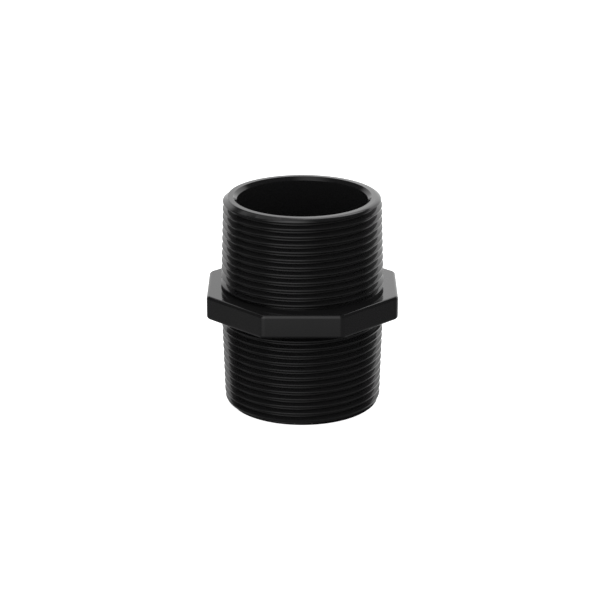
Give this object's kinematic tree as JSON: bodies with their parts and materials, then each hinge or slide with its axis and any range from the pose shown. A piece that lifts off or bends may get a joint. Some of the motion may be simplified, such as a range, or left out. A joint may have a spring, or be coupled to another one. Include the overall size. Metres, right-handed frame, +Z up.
{
  "type": "threaded pipe nipple",
  "caption": "Black plastic taper-thread pipe nipple with an octagonal wrench collar, for joining female pipe fittings in line.",
  "frame": {"origin": "centre of the lower annular end face, on the axis of the bore", "axes": "+Z up along the axis of the bore, towards the shorter threaded end; -Y faces one wrench flat, which is the front"},
  "size_m": [0.0572, 0.0572, 0.0647],
  "materials": {
    "black_plastic": "satin"
  },
  "bodies": {
    "root": {"lower_threaded_end": "black_plastic", "wrench_collar": "black_plastic", "upper_threaded_end": "black_plastic"}
  },
  "joints": []
}
